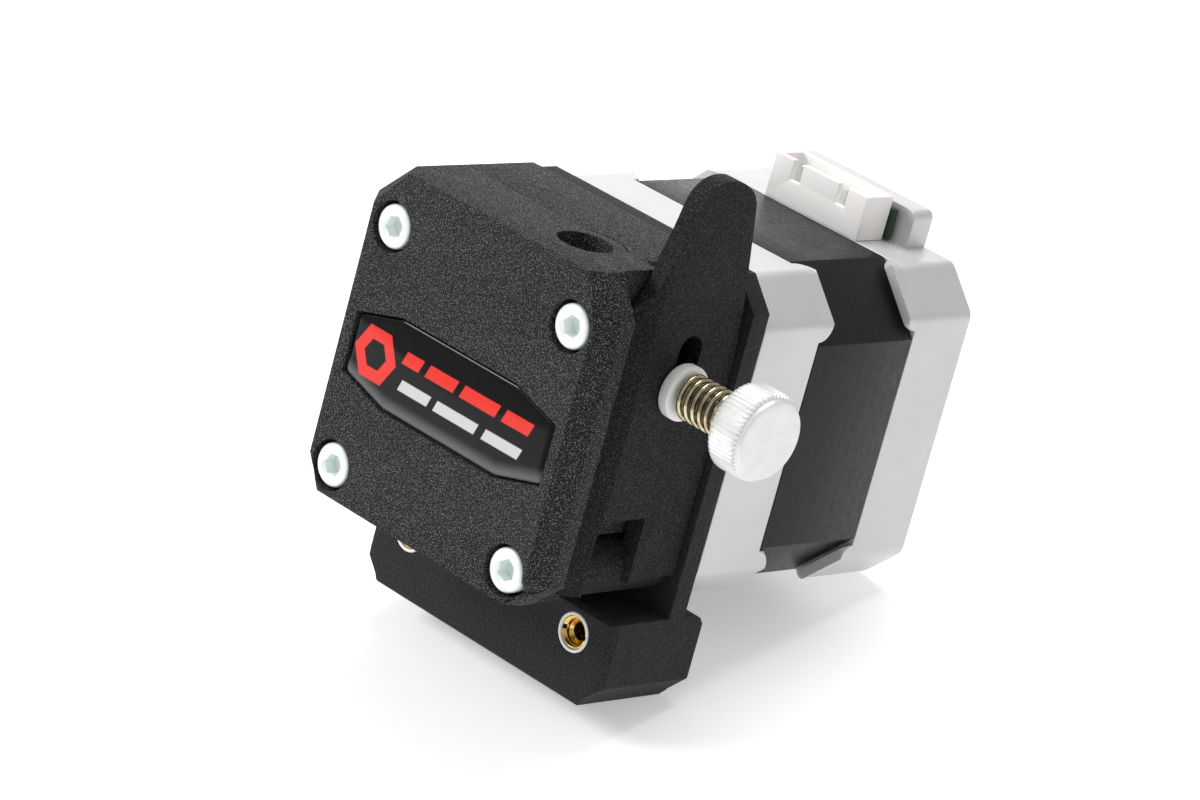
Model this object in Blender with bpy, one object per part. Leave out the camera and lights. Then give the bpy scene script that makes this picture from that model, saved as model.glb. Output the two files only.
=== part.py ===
"""Dual-drive extruder gear assembly on a NEMA 17 stepper motor.

Frame: metres, +Z up (filament inlet on top), +X towards the idler lever, +Y back
towards the motor.  The origin is the midpoint between the two threaded inserts on
the front face of the mounting foot.  The shapes are written in millimetres about
the motor axis (x = z = 0) with y = 0 on the front face of the cover, and shifted
to the origin when each mesh is made.
"""

import math

import bmesh
import bpy
from mathutils import Vector

# ---------------------------------------------------------------- driving sizes, mm
ORIGIN = Vector((0.0, 16.2, -25.4))     # midpoint between the inserts

HALF = 21.15                            # half of the 42.3 mm motor flange
SCREW_PITCH = 15.5                      # half of the 31 mm screw pattern
TOP_Z, BOTTOM_Z = 22.9, -19.5           # gearbox top and bottom faces
COVER_BACK = 10.9                       # parting plane of the cover
COVER_SIDE_BACK = 4.7                   # cover depth in front of the lever
HOUSING_FRONT, HOUSING_BACK = 11.0, 25.0
HOUSING_RIGHT = 17.2                    # housing side that faces the lever
PLATE_FRONT, PLATE_BACK = 25.3, 28.1    # bracket plate
FOOT_FRONT, FOOT_BACK = 16.2, 31.8
FOOT_TOP, FOOT_BOTTOM = -21.6, -33.6
INSERT_X, INSERT_Z = 14.75, -25.4
MOTOR_FRONT, CAP_FRONT_END = 28.2, 38.7
STATOR_FRONT, STATOR_BACK = 38.8, 56.3
CAP_REAR_START, MOTOR_BACK = 56.4, 66.6
MOTOR_CHAMFER = 5.0
STATOR_CHAMFER = 7.8                    # the caps reach over the stator's cut corners

FILAMENT_X, FILAMENT_Y = 8.3, 7.2       # filament path, along Z
MODULE = 0.4
PINION_TEETH, LARGE_TEETH, DRIVE_TEETH = 17, 34, 20
DRIVE_X, DRIVE_Z = 4.3, 9.25            # drive shaft axis; 10.2 mm from the motor axis
IDLER_X = 12.3                          # idler axis, one gear pitch away
PIVOT_X, PIVOT_Z = 15.5, -15.5          # lever pivot: the lower right cover screw
THUMB_Y, THUMB_Z = 16.3, 8.7            # thumb screw axis, along X
LEVER_IN, LEVER_OUT = 17.8, 20.3


# ---------------------------------------------------------------- materials
def material(name, colour, roughness, metallic=0.0):
    made = bpy.data.materials.new(name)
    made.use_nodes = True
    shader = made.node_tree.nodes["Principled BSDF"]
    shader.inputs["Base Color"].default_value = (*colour, 1.0)
    shader.inputs["Roughness"].default_value = roughness
    shader.inputs["Metallic"].default_value = metallic
    made.diffuse_color = (*colour, 1.0)
    return made


# ---------------------------------------------------------------- mesh helpers
def to_frame(point):
    return (Vector(point) - ORIGIN) * 0.001


def swing(axis, u, v, t):
    """A point at t along the axis, with (u, v) in the plane across it: y takes (x, z), x takes (y, z) and z takes (x, y)."""
    if axis == "y":
        return (u, t, v)
    if axis == "x":
        return (t, u, v)
    return (u, v, t)


def make(name, points, faces, mat=None, about=None):
    """A closed mesh object from millimetre points.  Its origin is the point `about`, in the same millimetres."""
    centre = to_frame(about) if about else Vector((0.0, 0.0, 0.0))
    mesh = bpy.data.meshes.new(name)
    mesh.from_pydata([to_frame(p) - centre for p in points], [], faces)
    work = bmesh.new()
    work.from_mesh(mesh)
    bmesh.ops.recalc_face_normals(work, faces=work.faces)
    work.to_mesh(mesh)
    work.free()
    obj = bpy.data.objects.new(name, mesh)
    obj.location = centre
    bpy.context.scene.collection.objects.link(obj)
    if mat:
        mesh.materials.append(mat)
    return obj


def loft(name, rings, mat=None, about=None):
    """Closed solid through rings of equally many points, with flat ends."""
    count = len(rings[0])
    points = [p for ring in rings for p in ring]
    faces = [tuple(reversed(range(count)))]
    for r in range(len(rings) - 1):
        a, b = r * count, (r + 1) * count
        for i in range(count):
            j = (i + 1) % count
            faces.append((a + i, a + j, b + j, b + i))
    last = (len(rings) - 1) * count
    faces.append(tuple(range(last, last + count)))
    return make(name, points, faces, mat, about)


def prism(name, outline, axis, start, end, mat=None, about=None):
    return loft(
        name,
        [[swing(axis, u, v, t) for u, v in outline] for t in (start, end)],
        mat,
        about,
    )


def box(name, low, high, mat=None, about=None):
    outline = [(low[0], low[1]), (high[0], low[1]), (high[0], high[1]), (low[0], high[1])]
    return prism(name, outline, "z", low[2], high[2], mat, about)


def circle(u, v, radius, count=32, phase=0.0):
    return [
        (
            u + radius * math.cos(phase + 2 * math.pi * i / count),
            v + radius * math.sin(phase + 2 * math.pi * i / count),
        )
        for i in range(count)
    ]


def rod(name, axis, centre, radius, start, end, count=24, mat=None, about=None, phase=0.0):
    return prism(name, circle(*centre, radius, count, phase), axis, start, end, mat, about)


def turned(name, axis, centre, profile, count=24, mat=None, about=None):
    """Ring-shaped solid: a closed profile of (radius, along) points, all off the axis, turned round it."""
    points, faces, size = [], [], len(profile)
    for i in range(count):
        a = 2 * math.pi * i / count
        for radius, along in profile:
            points.append(
                swing(axis, centre[0] + radius * math.cos(a), centre[1] + radius * math.sin(a), along)
            )
    for i in range(count):
        j = (i + 1) % count
        for k in range(size):
            m = (k + 1) % size
            faces.append((i * size + k, j * size + k, j * size + m, i * size + m))
    return make(name, points, faces, mat, about)


def stacked(name, axis, centre, steps, count=24, mat=None, about=None):
    """Solid turned shape from (radius, along) steps, none at radius 0."""
    rings = [
        [swing(axis, u, v, along) for u, v in circle(*centre, radius, count)]
        for radius, along in steps
    ]
    return loft(name, rings, mat, about)


def combine(target, tools, operation):
    """Applies a Boolean of each tool in turn to the target's own mesh, then removes the tools."""
    for tool in tools:
        step = target.modifiers.new("cut", "BOOLEAN")
        step.operation = operation
        step.solver = "EXACT"
        step.object = tool
        bpy.context.view_layer.update()
        graph = bpy.context.evaluated_depsgraph_get()
        result = bpy.data.meshes.new_from_object(target.evaluated_get(graph))
        target.modifiers.remove(step)
        result.materials.clear()
        for mat in target.data.materials:
            result.materials.append(mat)
        target.data = result
        target.data.name = target.name
        bpy.data.objects.remove(tool)
    return target


def cut(target, *tools):
    return combine(target, tools, "DIFFERENCE")


def join(target, *tools):
    return combine(target, tools, "UNION")


def common(target, *tools):
    return combine(target, tools, "INTERSECT")


def smooth(obj, degrees=32):
    obj.data.shade_smooth()
    obj.data.set_sharp_from_angle(angle=math.radians(degrees))
    return obj


def gear_outline(centre, teeth, tip, root, phase, share=0.40):
    """Outline of a spur gear with straight flanks; the tooth fills `share` of the pitch at mid height."""
    points = []
    pitch = 2 * math.pi / teeth
    for i in range(teeth):
        a = phase + i * pitch
        for radius, half in (
            (root, pitch * (share + 0.18) / 2),
            (tip, pitch * (share - 0.18) / 2),
        ):
            points.append((radius, a - half))
        points.append((tip, a + pitch * (share - 0.18) / 2))
        points.append((root, a + pitch * (share + 0.18) / 2))
    return [
        (centre[0] + r * math.cos(a), centre[1] + r * math.sin(a)) for r, a in points
    ]


# ---------------------------------------------------------------- start clean
for old in list(bpy.data.objects):
    bpy.data.objects.remove(old)

NYLON = material("black_nylon", (0.018, 0.018, 0.019), 0.78)
BADGE = material("badge_gloss", (0.012, 0.012, 0.014), 0.12)
CAST = material("cast_aluminium", (0.72, 0.72, 0.71), 0.42, 0.9)
LAMINATE = material("black_laminations", (0.022, 0.022, 0.024), 0.5, 0.3)
ZINC = material("zinc_screw", (0.66, 0.70, 0.74), 0.28, 1.0)
STEEL = material("steel", (0.52, 0.52, 0.53), 0.3, 1.0)
HARD_STEEL = material("hardened_steel", (0.40, 0.39, 0.38), 0.34, 1.0)
BRASS = material("brass", (0.86, 0.62, 0.22), 0.28, 1.0)
WHITE = material("white_nylon", (0.82, 0.82, 0.80), 0.5)
CONNECTOR = material("connector_nylon", (0.84, 0.84, 0.80), 0.55)
TIN = material("tinned_pin", (0.75, 0.75, 0.72), 0.25, 1.0)
BOARD = material("circuit_board", (0.05, 0.16, 0.06), 0.5)
COPPER = material("enamelled_copper", (0.70, 0.28, 0.10), 0.4, 0.9)
SPRING = material("spring_steel", (0.45, 0.39, 0.27), 0.26, 1.0)
KNOB = material("bright_knob", (0.88, 0.88, 0.87), 0.35, 0.6)

MOTOR_AXIS = (0.0, 0.0)
DRIVE_AXIS = (DRIVE_X, DRIVE_Z)
IDLER_AXIS = (IDLER_X, DRIVE_Z)
PIVOT = (PIVOT_X, PIVOT_Z)
THUMB = (THUMB_Y, THUMB_Z)
CORNERS = {
    "top_left": (-SCREW_PITCH, SCREW_PITCH),
    "top_right": (SCREW_PITCH, SCREW_PITCH),
    "bottom_left": (-SCREW_PITCH, -SCREW_PITCH),
    "bottom_right": (SCREW_PITCH, -SCREW_PITCH),
}

# ---------------------------------------------------------------- front cover
BACK_OUTLINE = [
    (-16.2, TOP_Z), (17.4, TOP_Z), (HALF, 17.9), (HALF, -15.6),
    (17.2, BOTTOM_Z), (-17.2, BOTTOM_Z), (-HALF, -15.6), (-HALF, 17.9),
]
FACE_OUTLINE = [
    (-14.8, 22.65), (16.1, 22.75), (19.0, 17.2), (19.0, -15.1),
    (16.6, -19.3), (-16.6, -19.3), (-19.3, -15.3), (-19.3, 17.2),
]
cover = loft(
    "front_cover",
    [
        [(x, 0.0, z) for x, z in FACE_OUTLINE],
        [(x, 2.4, z) for x, z in BACK_OUTLINE],
        [(x, COVER_BACK, z) for x, z in BACK_OUTLINE],
    ],
    NYLON,
)
inlet_collar = (FILAMENT_X, FILAMENT_Y)
cut(
    cover,
    box("tool", (HOUSING_RIGHT, COVER_SIDE_BACK, -30), (30, 20, 40)),
)
join(cover, rod("tool", "z", inlet_collar, 5.0, 16.5, TOP_Z, 24))
cut(
    cover,
    rod("tool", "z", inlet_collar, 3.8, 17.4, 30, 24),
    rod("tool", "z", inlet_collar, 1.25, -30, 18, 12),
    rod("tool", "z", inlet_collar, 2.1, -30, -13.5, 14),
    # cavity of the drive gear, and the seat of its front bearing
    rod("tool", "y", DRIVE_AXIS, 4.8, 3.85, 12, 24),
    rod("tool", "y", DRIVE_AXIS, 4.06, 1.4, 5, 24),
    # cavity of the idler, open behind to the lever
    prism("tool", [(8.4, 4.5), (20.3, 4.5), (20.3, 14.0), (8.4, 14.0)], "y", 3.8, 20),
    prism("tool", [(8.6, 6.0), (20.3, 6.0), (20.3, 12.1), (8.6, 12.1)], "y", 2.0, 4.5),
    # clearance round the lever's pivot barrel
    rod("tool", "y", PIVOT, 4.35, 9.2, 20, 24),
    box("tool", (PIVOT_X, 9.2, -30), (30, 20, -11.15)),
    box("tool", (11.15, 9.2, -30), (30, 20, PIVOT_Z)),
    # seat of the badge
    prism(
        "tool",
        [(-17.5, -3.9), (-10, -6), (10, -6), (17.5, -3.9), (17.5, 3.9), (10, 6), (-10, 6), (-17.5, 3.9)],
        "y", -1, 1.05,
    ),
)
for x, z in CORNERS.values():
    cut(
        cover,
        rod("tool", "y", (x, z), 3.2, -1, 3.45, 20),
        rod("tool", "y", (x, z), 1.7, 3, 20, 12),
    )
smooth(cover)

# ---------------------------------------------------------------- badge, a domed plate
badge_flat = [(-17.2, -3.7), (-9.95, -5.7), (9.95, -5.7), (17.2, -3.7), (17.2, 3.7), (9.95, 5.7), (-9.95, 5.7), (-17.2, 3.7)]
loft(
    "badge",
    [
        [(x * 0.955, 0.18, z * 0.90) for x, z in badge_flat],
        [(x * 0.985, 0.30, z * 0.97) for x, z in badge_flat],
        [(x, 0.50, z) for x, z in badge_flat],
        [(x, 1.0, z) for x, z in badge_flat],
    ],
    BADGE,
)

# ---------------------------------------------------------------- rear housing
HOUSING_OUTLINE = [
    (-16.2, TOP_Z), (14.9, TOP_Z), (HOUSING_RIGHT, 20.0), (HOUSING_RIGHT, BOTTOM_Z),
    (-17.2, BOTTOM_Z), (-HALF, -15.6), (-HALF, 17.9),
]
housing = loft(
    "rear_housing",
    [
        [(x, HOUSING_FRONT, z) for x, z in HOUSING_OUTLINE],
        [(x, 22.4, z) for x, z in HOUSING_OUTLINE],
        [(x, HOUSING_BACK, z - (0.9 if z > 0 else 0)) for x, z in HOUSING_OUTLINE],
    ],
    NYLON,
)
cut(
    housing,
    # relief round the inlet collar, which crosses the parting plane
    rod("tool", "z", inlet_collar, 5.15, 16.3, 30, 24),
    # hub of the drive gear, bearing seat and gear train chamber
    rod("tool", "y", DRIVE_AXIS, 4.8, 5, 15.0, 24),
    rod("tool", "y", DRIVE_AXIS, 3.2, 5, 30, 16),
    rod("tool", "y", DRIVE_AXIS, 4.06, 15.9, 30, 24),
    rod("tool", "y", DRIVE_AXIS, 7.6, 19.8, 30, 28),
    rod("tool", "y", MOTOR_AXIS, 4.6, 19.4, 30, 20),
    # idler cheek, thumb screw and its captive nut
    prism("tool", [(8.4, 4.5), (30, 4.5), (30, 14.0), (8.4, 14.0)], "y", 5, 12.6),
    prism("tool", [(10.9, 5.2), (13.6, 5.2), (13.6, 12.2), (10.9, 12.2)], "y", 5, 19.2),
    rod("tool", "x", THUMB, 1.8, 9.0, 30, 12),
    # clearance round the lever's pivot barrel
    rod("tool", "y", PIVOT, 4.35, 5, 30, 24),
    box("tool", (PIVOT_X, 5, -30), (30, 30, -11.15)),
    box("tool", (11.15, 5, -30), (30, 30, PIVOT_Z)),
)
for key in ("top_left", "top_right", "bottom_left"):
    cut(housing, rod("tool", "y", CORNERS[key], 1.7, 5, 30, 12))
smooth(housing)

# ---------------------------------------------------------------- cover screws, M3 socket heads
SCREW_NAMES = {
    "top_left": "cover_screw_top_left",
    "top_right": "cover_screw_top_right",
    "bottom_left": "cover_screw_bottom_left",
    "bottom_right": "lever_pivot_screw",
}
for key, name in SCREW_NAMES.items():
    screw = stacked(
        name, "y", CORNERS[key],
        [(2.45, 0.3), (2.75, 0.6), (2.75, 3.3), (1.5, 3.3), (1.5, 31.9)],
        16, ZINC, (*CORNERS[key][:1], 0.3, CORNERS[key][1]),
    )
    cut(screw, rod("tool", "y", CORNERS[key], 1.44, -1, 1.9, 6))
    smooth(screw)

# ---------------------------------------------------------------- mounting bracket: plate with a foot block
bracket = prism(
    "mount_bracket",
    [
        (FOOT_FRONT, -33.3), (FOOT_FRONT, -22.2), (16.8, FOOT_TOP), (PLATE_FRONT, FOOT_TOP),
        (PLATE_FRONT, 21.8), (PLATE_BACK, 21.8), (PLATE_BACK, -21.5), (29.6, -21.5),
        (31.1, -21.9), (FOOT_BACK, -22.8), (FOOT_BACK, -32.9), (31.1, FOOT_BOTTOM), (16.5, FOOT_BOTTOM),
    ],
    "x", -HALF, HALF, NYLON,
)
common(
    bracket,
    prism(
        "tool",
        [
            (-17.6, FOOT_BOTTOM - 1), (17.6, FOOT_BOTTOM - 1), (18.6, FOOT_BOTTOM + 0.9), (HALF, -30.1),
            (HALF, -22.9), (HALF, 18.0), (17.4, 21.8), (17.4, 30), (-17.4, 30), (-17.4, 21.8), (-HALF, 18.0),
            (-HALF, -30.1), (-18.6, FOOT_BOTTOM + 0.9),
        ],
        "y", 10, 40,
    ),
)
for side in (-1, 1):
    # the foot's upright front edges are eased
    cut(
        bracket,
        prism(
            "tool",
            [(side * (HALF - 1.8), FOOT_FRONT - 1), (side * (HALF + 1), FOOT_FRONT - 1), (side * (HALF + 1), FOOT_FRONT + 1.8)],
            "z", FOOT_BOTTOM - 1, FOOT_TOP + 0.4,
        ),
    )
cut(bracket, rod("tool", "y", MOTOR_AXIS, 11.5, 20, 40, 28))
for x, z in CORNERS.values():
    cut(bracket, rod("tool", "y", (x, z), 1.7, 20, 40, 12))
for side in (-1, 1):
    cut(
        bracket,
        rod("tool", "y", (side * INSERT_X, INSERT_Z), 2.6, 10, 16.6, 20),
        rod("tool", "y", (side * INSERT_X, INSERT_Z), 2.2, 10, 22.2, 16),
    )
smooth(bracket)

for side, name in ((-1, "insert_left"), (1, "insert_right")):
    x = side * INSERT_X
    insert = turned(
        name, "y", (x, INSERT_Z),
        [(1.25, 16.35), (2.1, 16.35), (2.1, 21.9), (1.25, 21.9)], 16, BRASS, (x, 16.35, INSERT_Z),
    )
    smooth(insert)

# ---------------------------------------------------------------- stepper motor
c = HALF - MOTOR_CHAMFER
MOTOR_OUTLINE = [(-c, HALF), (c, HALF), (HALF, c), (HALF, -c), (c, -HALF), (-c, -HALF), (-HALF, -c), (-HALF, c)]

c = HALF - STATOR_CHAMFER
STATOR_OUTLINE = [(-c, HALF), (c, HALF), (HALF, c), (HALF, -c), (c, -HALF), (-c, -HALF), (-HALF, -c), (-HALF, c)]
EAR_REACH = 1.9


def ear(side_x, side_z, start, tip):
    """A cap's corner that reaches along the motor over the stator's cut corner, with rounded ends."""
    way = 1 if tip > start else -1
    inner = 2 * HALF - STATOR_CHAMFER + 0.25
    flat = HALF - MOTOR_CHAMFER
    rings = []
    for y, w in ((start, 7.4), (tip - 1.0 * way, 7.4), (tip - 0.3 * way, 6.8), (tip, 5.9)):
        ring = [
            ((inner + w) / 2, (inner - w) / 2), (HALF, HALF - w), (HALF, flat),
            (flat, HALF), (HALF - w, HALF), ((inner - w) / 2, (inner + w) / 2),
        ]
        rings.append([(side_x * u, y, side_z * v) for u, v in ring])
    return loft("tool", rings)


front_cap = prism("motor_front_cap", MOTOR_OUTLINE, "y", MOTOR_FRONT, CAP_FRONT_END, CAST)
join(front_cap, rod("tool", "y", MOTOR_AXIS, 11.0, 26.2, 29, 28))
cut(
    front_cap,
    rod("tool", "y", MOTOR_AXIS, 17.0, 33.9, 50, 28),
    rod("tool", "y", MOTOR_AXIS, 8.06, 28.9, 40, 24),
    rod("tool", "y", MOTOR_AXIS, 3.6, 20, 40, 16),
)
for x, z in CORNERS.values():
    cut(
        front_cap,
        rod("tool", "y", (x, z), 1.6, 20, 32.4, 12),
        rod("tool", "y", (x, z), 1.6, 33.3, 50, 12),
    )
for x, z in CORNERS.values():
    join(front_cap, ear(math.copysign(1, x), math.copysign(1, z), CAP_FRONT_END - 0.6, CAP_FRONT_END + EAR_REACH))
smooth(front_cap)

stator = prism("motor_stator", STATOR_OUTLINE, "y", STATOR_FRONT, STATOR_BACK, LAMINATE)
cut(stator, rod("tool", "y", MOTOR_AXIS, 13.1, 30, 60, 28))
for x, z in CORNERS.values():
    cut(stator, rod("tool", "y", (x, z), 1.65, 30, 60, 12))
smooth(stator)

rear_cap = prism("motor_rear_cap", MOTOR_OUTLINE, "y", CAP_REAR_START, MOTOR_BACK, CAST)
join(
    rear_cap,
    # bump over the lead-out behind the connector, which is open below it
    prism("tool", [(-10.5, 20.5), (11.5, 20.5), (11.5, 25.2), (10.7, 26.0), (-9.7, 26.0), (-10.5, 25.2)], "y", 62.6, 66.2),
)
cut(
    rear_cap,
    rod("tool", "y", MOTOR_AXIS, 17.0, 40, 60.7, 28),
    rod("tool", "y", MOTOR_AXIS, 8.06, 40, 65.0, 24),
    rod("tool", "y", MOTOR_AXIS, 3.0, 40, 70, 16),
    # mouth of the lead-out, under the connector
    box("tool", (-6.5, 57.4, 14.0), (7.5, 60.5, 30.0)),
)
for x, z in CORNERS.values():
    cut(
        rear_cap,
        rod("tool", "y", (x, z), 1.65, 40, 70, 12),
        rod("tool", "y", (x, z), 3.0, 63.4, 70, 16),
    )
for x, z in CORNERS.values():
    join(rear_cap, ear(math.copysign(1, x), math.copysign(1, z), CAP_REAR_START + 0.6, CAP_REAR_START - EAR_REACH))
smooth(rear_cap)

for key, (x, z) in CORNERS.items():
    screw = stacked(
        "motor_screw_" + key, "y", (x, z),
        [(1.5, 33.6), (1.5, 63.5), (2.75, 63.5), (2.75, 66.2)], 12, ZINC, (x, 66.2, z),
    )
    cut(screw, rod("tool", "y", (x, z), 1.3, 64.9, 70, 6))
    smooth(screw)

def bearing(name, axis_point, inner, outer, start, end):
    """A sealed ball bearing as one ring."""
    return smooth(
        turned(
            name, "y", axis_point,
            [(inner, start), (outer, start), (outer, end), (inner, end)],
            24, STEEL, (axis_point[0], start, axis_point[1]),
        )
    )


bearing("motor_front_bearing", MOTOR_AXIS, 2.55, 8.0, 29.0, 33.7)
bearing("motor_rear_bearing", MOTOR_AXIS, 2.55, 8.0, 60.9, 64.9)

for name, start, end in (("winding_front", 34.5, 38.6), ("winding_rear", 56.5, 60.3)):
    smooth(
        turned(
            name, "y", MOTOR_AXIS,
            [(13.7, start), (16.7, start), (16.7, end), (13.7, end)],
            24, COPPER,
        )
    )

smooth(stacked("motor_shaft", "y", MOTOR_AXIS, [(2.2, 19.9), (2.5, 20.2), (2.5, 64.5), (2.3, 64.8)], 16, STEEL, (0, 19.9, 0)))
smooth(turned("motor_rotor", "y", MOTOR_AXIS, [(2.56, 38.9), (13.0, 38.9), (13.0, 55.3), (2.56, 55.3)], 24, HARD_STEEL, (0, 38.9, 0)))

# ---------------------------------------------------------------- motor connector on top of the rear cap
shroud = box("connector_shroud", (-7.5, 56.3, 21.4), (8.5, 61.3, 27.0), CONNECTOR)
cut(
    shroud,
    box("tool", (-6.6, 57.1, 22.6), (7.6, 60.5, 30.0)),
    box("tool", (-4.2, 55.0, 24.4), (-2.6, 58.0, 30.0)),
    box("tool", (3.6, 55.0, 24.4), (5.2, 58.0, 30.0)),
)
PIN_X = (-4.5, -2.5, -0.5, 1.5, 3.5, 5.5)
for x in PIN_X:
    cut(shroud, box("tool", (x - 0.35, 58.45, 20.0), (x + 0.35, 59.15, 25.0)))
for i, x in enumerate(PIN_X):
    box("connector_pin_%d" % (i + 1), (x - 0.25, 58.55, 18.5), (x + 0.25, 59.05, 26.2), TIN, (x, 58.8, 18.5))
board = box("motor_pcb", (-8.2, 61.5, 21.4), (9.2, 62.4, 25.6), BOARD)

# ---------------------------------------------------------------- reduction gears
toward = math.atan2(DRIVE_Z, DRIVE_X)
pinion_r = MODULE * PINION_TEETH / 2
large_r = MODULE * LARGE_TEETH / 2
drive_r = MODULE * DRIVE_TEETH / 2

pinion = prism(
    "motor_pinion",
    gear_outline(MOTOR_AXIS, PINION_TEETH, pinion_r + 0.36, pinion_r - 0.42, toward),
    "y", 20.1, 24.6, HARD_STEEL, (0, 20.1, 0),
)
cut(pinion, rod("tool", "y", MOTOR_AXIS, 2.55, 10, 40, 16))

large = prism(
    "large_gear",
    gear_outline(DRIVE_AXIS, LARGE_TEETH, large_r + 0.36, large_r - 0.42, toward + math.pi + math.pi / LARGE_TEETH),
    "y", 20.3, 24.3, WHITE, (DRIVE_X, 20.3, DRIVE_Z),
)
cut(
    large,
    rod("tool", "y", DRIVE_AXIS, 2.55, 10, 40, 16),
    turned("tool", "y", DRIVE_AXIS, [(3.9, 15), (5.5, 15), (5.5, 21.1), (3.9, 21.1)], 16),
    turned("tool", "y", DRIVE_AXIS, [(3.9, 23.5), (5.5, 23.5), (5.5, 30), (3.9, 30)], 16),
)

smooth(stacked("drive_shaft", "y", DRIVE_AXIS, [(2.2, 1.6), (2.5, 1.9), (2.5, 24.5), (2.2, 24.8)], 16, STEEL, (DRIVE_X, 1.6, DRIVE_Z)))
bearing("drive_bearing_front", DRIVE_AXIS, 2.55, 4.0, 1.5, 3.8)
bearing("drive_bearing_rear", DRIVE_AXIS, 2.55, 4.0, 16.0, 18.4)


def hobbed_gear(name, centre, phase, hub_end, bore):
    """Filament gear: a spur toothed band in front, a V-grooved hobbed band at the filament, and a plain hub behind."""
    gear = prism(
        name, gear_outline(centre, DRIVE_TEETH, drive_r + 0.36, drive_r - 0.45, phase),
        "y", 3.95, 5.5, HARD_STEEL, (centre[0], 3.95, centre[1]),
    )
    steps = [(3.5, 5.2), (4.0, 5.7), (4.0, 6.2), (3.2, 6.75), (3.2, 7.65), (4.0, 8.2), (4.0, hub_end)]
    join(gear, stacked("tool", "y", centre, steps, 20))
    cut(gear, rod("tool", "y", centre, bore, 0, 40, 16))
    return gear


drive = hobbed_gear("drive_gear", DRIVE_AXIS, 0.0, 14.5, 2.55)
cut(drive, rod("tool", "x", (12.0, DRIVE_Z), 1.5, -5, DRIVE_X - 1, 12))
grub = rod("drive_gear_set_screw", "x", (12.0, DRIVE_Z), 1.4, DRIVE_X - 3.95, DRIVE_X - 2.62, 16, ZINC, (DRIVE_X, 12.0, DRIVE_Z))
cut(grub, rod("tool", "x", (12.0, DRIVE_Z), 0.8, -5, DRIVE_X - 3.2, 6))

hobbed_gear("idler_gear", IDLER_AXIS, math.pi / DRIVE_TEETH, 8.95, 2.46)
for name, start, end in (("idler_bearing_front", 4.0, 6.35), ("idler_bearing_rear", 6.55, 8.9)):
    smooth(turned(name, "y", IDLER_AXIS, [(1.55, start), (2.4, start), (2.4, end), (1.55, end)], 16, STEEL, (IDLER_X, start, DRIVE_Z)))
smooth(stacked("idler_axle", "y", IDLER_AXIS, [(1.3, 2.3), (1.5, 2.5), (1.5, 11.9), (1.3, 12.1)], 14, STEEL, (IDLER_X, 2.3, DRIVE_Z)))

# ---------------------------------------------------------------- idler lever
LEVER_PROFILE = [
    (6.3, -17.2), (6.3, 17.6), (8.7, 21.0), (9.5, 24.6), (10.7, 28.4), (11.5, 31.6), (12.1, 33.0), (13.2, 34.1), (14.8, 34.8),
    (16.8, 34.9), (18.6, 34.4), (20.2, 33.4), (21.2, 32.0), (21.9, 28.9), (23.2, 22.8), (24.0, 18.7), (24.9, 12.0),
    (24.9, -16.0), (17.6, -16.4), (15.2, -17.6), (7.0, -17.9),
]
lever = prism("idler_lever", LEVER_PROFILE, "x", LEVER_IN, LEVER_OUT, NYLON, (PIVOT_X, 16.0, PIVOT_Z))
cut(
    lever,
    # long bevel of the front edge
    prism("tool", [(17.2, 5.34), (21.3, 10.98), (21.3, 5.0)], "z", -40, 50),
    # pocket that shows the pivot barrel, open at the bottom
    box("tool", (15, 9.4, -30), (25, 16.9, -8.0)),
)
join(
    lever,
    rod("tool", "y", PIVOT, 3.9, 9.5, 24.8, 24),
    # web and cheeks that carry the idler axle
    box("tool", (16.95, 2.25, 6.5), (17.9, 12.3, 11.7)),
    box("tool", (17.0, 6.4, 6.5), (18.4, 12.3, 11.7)),
    prism("tool", [(9.3, 8.0), (10.7, 6.5), (17.5, 6.5), (17.5, 11.7), (10.7, 11.7), (9.3, 10.4)], "y", 2.25, 3.7),
    prism("tool", [(9.3, 8.0), (10.7, 6.5), (18.0, 6.5), (18.0, 11.7), (10.7, 11.7), (9.3, 10.4)], "y", 9.2, 12.3),
)
slot = [(THUMB_Y + 0.3 + 1.95 * math.cos(a), 13.5 + 1.95 * math.sin(a)) for a in [math.pi * i / 10 for i in range(11)]]
slot += [(THUMB_Y + 0.3 + 1.95 * math.cos(a), 7.9 + 1.95 * math.sin(a)) for a in [math.pi + math.pi * i / 10 for i in range(11)]]
cut(
    lever,
    prism("tool", slot, "x", 10, 30),
    rod("tool", "y", PIVOT, 1.6, -5, 40, 14),
    rod("tool", "y", IDLER_AXIS, 1.56, -5, 20, 14),
)
smooth(lever)

# ---------------------------------------------------------------- tension screw stack, along X
smooth(turned("spring_bushing", "x", THUMB, [(1.7, 20.4), (3.5, 20.4), (3.5, 22.0), (1.7, 22.0)], 24, WHITE, (20.4, *THUMB)))

COIL_START, COIL_END, COIL_TURNS, COIL_R, WIRE_R = 22.05, 29.95, 6.25, 2.55, 0.4
rings = []
steps = int(COIL_TURNS * 12)
for i in range(steps + 1):
    a = 2 * math.pi * COIL_TURNS * i / steps
    x = COIL_START + WIRE_R + 0.01 + (COIL_END - COIL_START - 2 * WIRE_R - 0.02) * i / steps
    radial = Vector((0.0, math.cos(a), math.sin(a)))
    centre = Vector((x, THUMB_Y, THUMB_Z)) + COIL_R * radial
    rings.append([
        tuple(centre + WIRE_R * (math.cos(b) * radial + math.sin(b) * Vector((1.0, 0.0, 0.0))))
        for b in [2 * math.pi * k / 5 for k in range(5)]
    ])
smooth(loft("tension_spring", rings, SPRING, (COIL_START, *THUMB)), 60)

smooth(turned("spring_seat_washer", "x", THUMB, [(1.7, 30.0), (3.2, 30.0), (3.2, 30.4), (1.7, 30.4)], 20, STEEL, (30.0, *THUMB)))

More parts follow.
